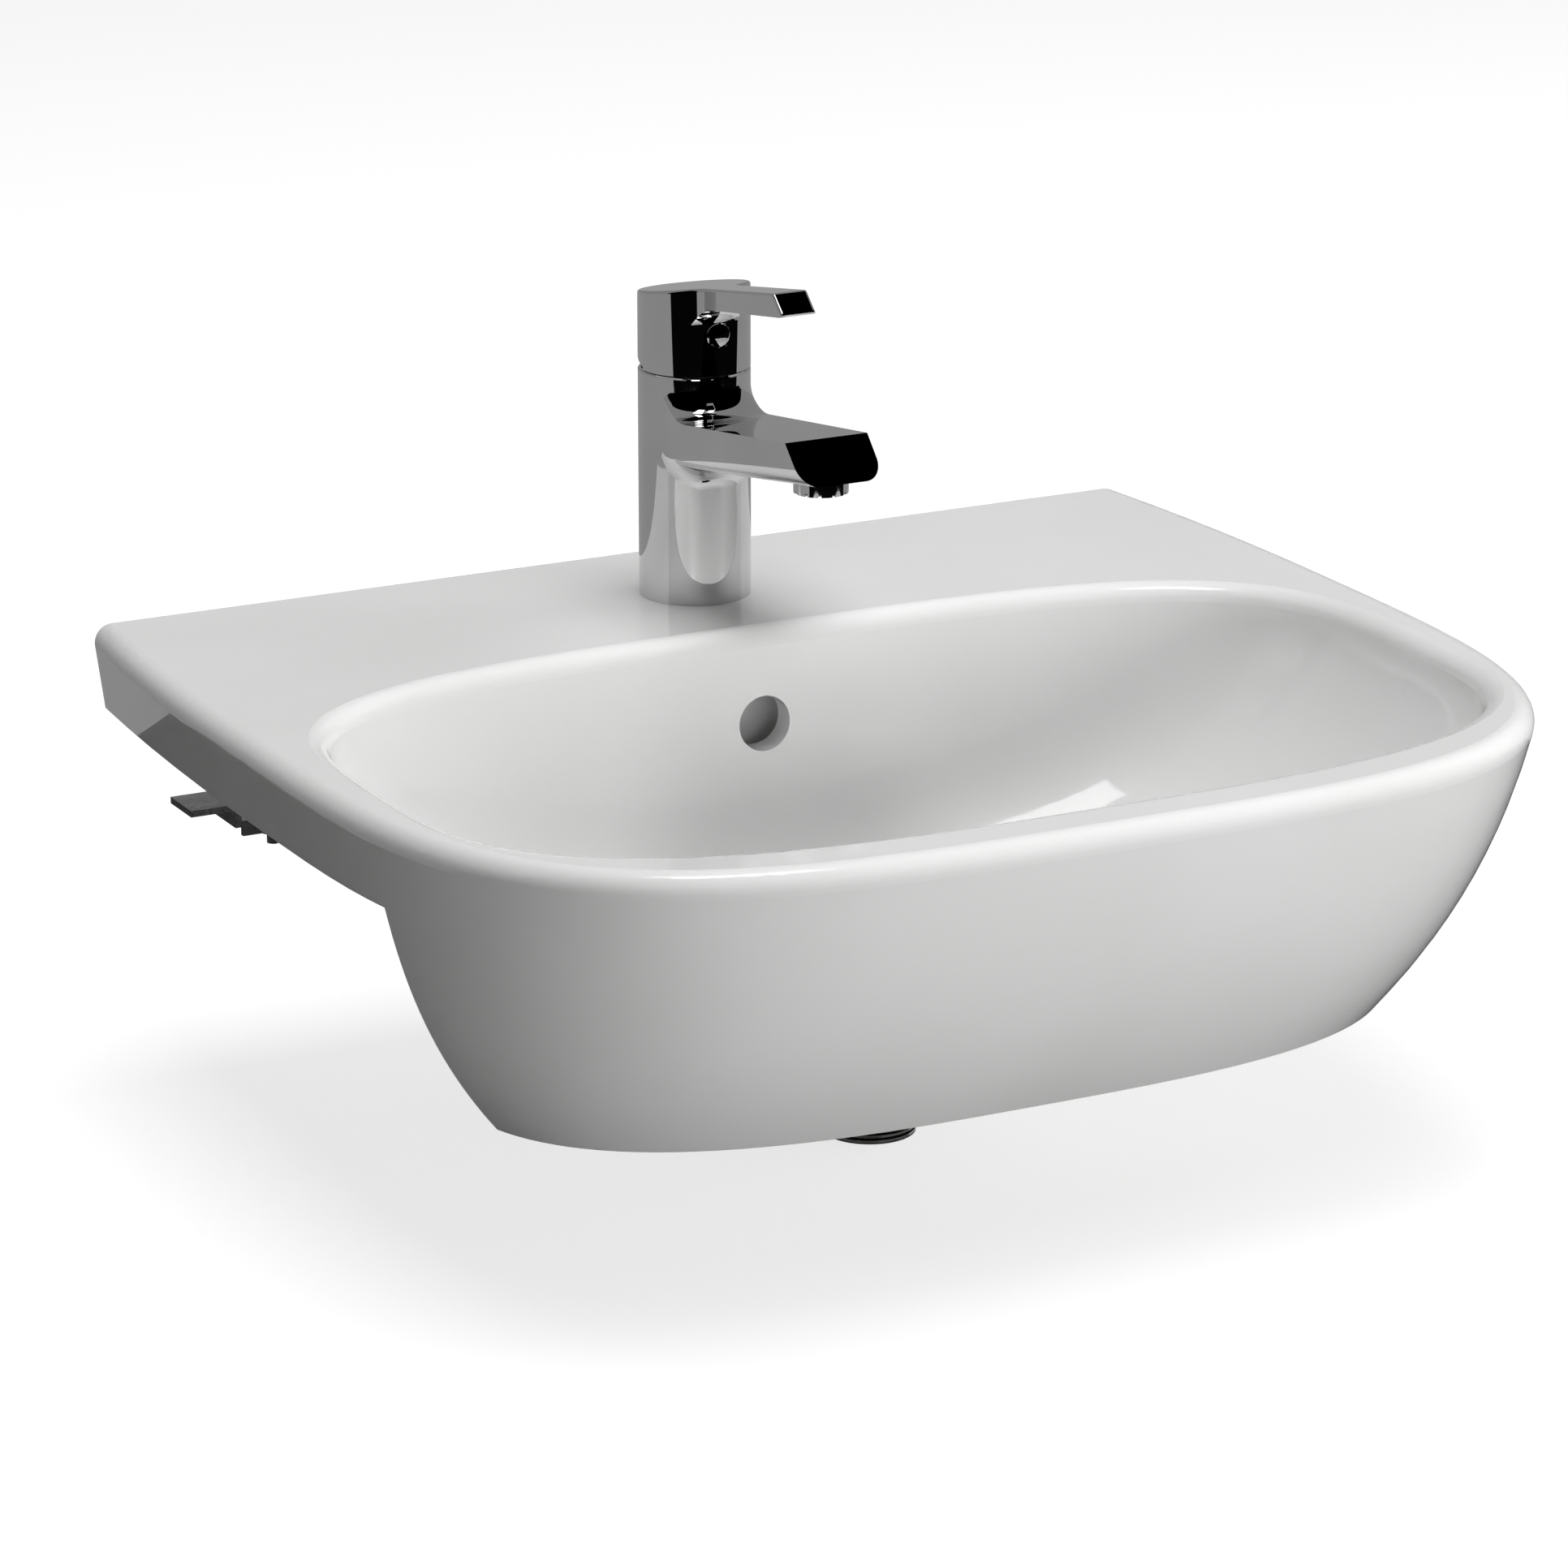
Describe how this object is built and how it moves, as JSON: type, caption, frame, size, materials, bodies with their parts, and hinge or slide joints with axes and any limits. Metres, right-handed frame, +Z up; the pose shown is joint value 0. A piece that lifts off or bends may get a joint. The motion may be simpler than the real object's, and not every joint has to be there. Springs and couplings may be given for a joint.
{
  "type": "semi recessed basin",
  "caption": "Semi recessed ceramic washbasin with a bowed front, a wide rear deck, a lever mixer and a push plug waste.",
  "frame": {"origin": "on the worktop's top surface, in the middle of the basin's rear seat strip", "axes": "+X to the user's right, -Y to the user at the front, +Z up"},
  "size_m": [0.5492, 0.4672, 0.3631],
  "materials": {
    "ware": "gloss",
    "chrome": "polished",
    "steel": "satin",
    "brass": "machined",
    "white_plastic": "matte",
    "grey_plastic": "matte",
    "disc_ceramic": "lapped",
    "black_rubber": "matte"
  },
  "bodies": {
    "ware": {"basin_shell": "ware", "mixer_body": "chrome", "cartridge_base": "white_plastic", "port_seals": "black_rubber", "lower_disc": "disc_ceramic", "cartridge_housing": "grey_plastic", "cartridge_nut": "brass", "base_seal": "black_rubber", "fixing_stud": "steel", "horseshoe_gasket": "black_rubber", "horseshoe_washer": "steel", "fixing_nut": "brass", "aerator_shell": "chrome", "aerator_insert": "white_plastic", "aerator_washer": "black_rubber", "flange_gasket": "black_rubber", "waste_body": "chrome", "waste_cone_washer": "black_rubber", "slip_washer": "white_plastic", "waste_backnut": "brass", "plug_guide": "white_plastic", "clamp_inserts": "grey_plastic", "clamp_rods": "steel", "clamp_brackets": "steel", "wing_nuts": "steel"},
    "rotor": {"cartridge_rotor": "white_plastic", "pivot_pin": "steel"},
    "lever": {"handle_lever": "chrome", "lever_stem": "brass", "index_plug": "chrome", "grub_screw": "steel"},
    "disc": {"upper_disc": "disc_ceramic", "disc_carrier": "white_plastic"},
    "plug": {"plug_cap": "chrome", "plug_seal": "black_rubber", "plug_stem": "steel"}
  },
  "joints": [
    {"name": "handle_swivel", "type": "hinge", "parent": "ware", "child": "rotor", "pos_m": [0, -0.0685, 0.1465], "axis": [0, 0, 1], "range_deg": [-45, 45]},
    {"name": "handle_lift", "type": "hinge", "parent": "rotor", "child": "lever", "pos_m": [0, -0.0685, 0.1465], "axis": [-1, 0, 0], "range_deg": [0, 18]},
    {"name": "disc_slide", "type": "slide", "parent": "rotor", "child": "disc", "axis": [0, -1, 0], "range_m": [0, 0.0056]},
    {"name": "plug_press", "type": "slide", "parent": "ware", "child": "plug", "axis": [0, 0, -1], "range_m": [0, 0.0072], "stiffness_N_per_m": 800, "springref_m": -0.005}
  ],
  "couplings": [
    {"joint": "disc_slide", "follows": "handle_lift", "m_per_rad": 0.017804}
  ]
}
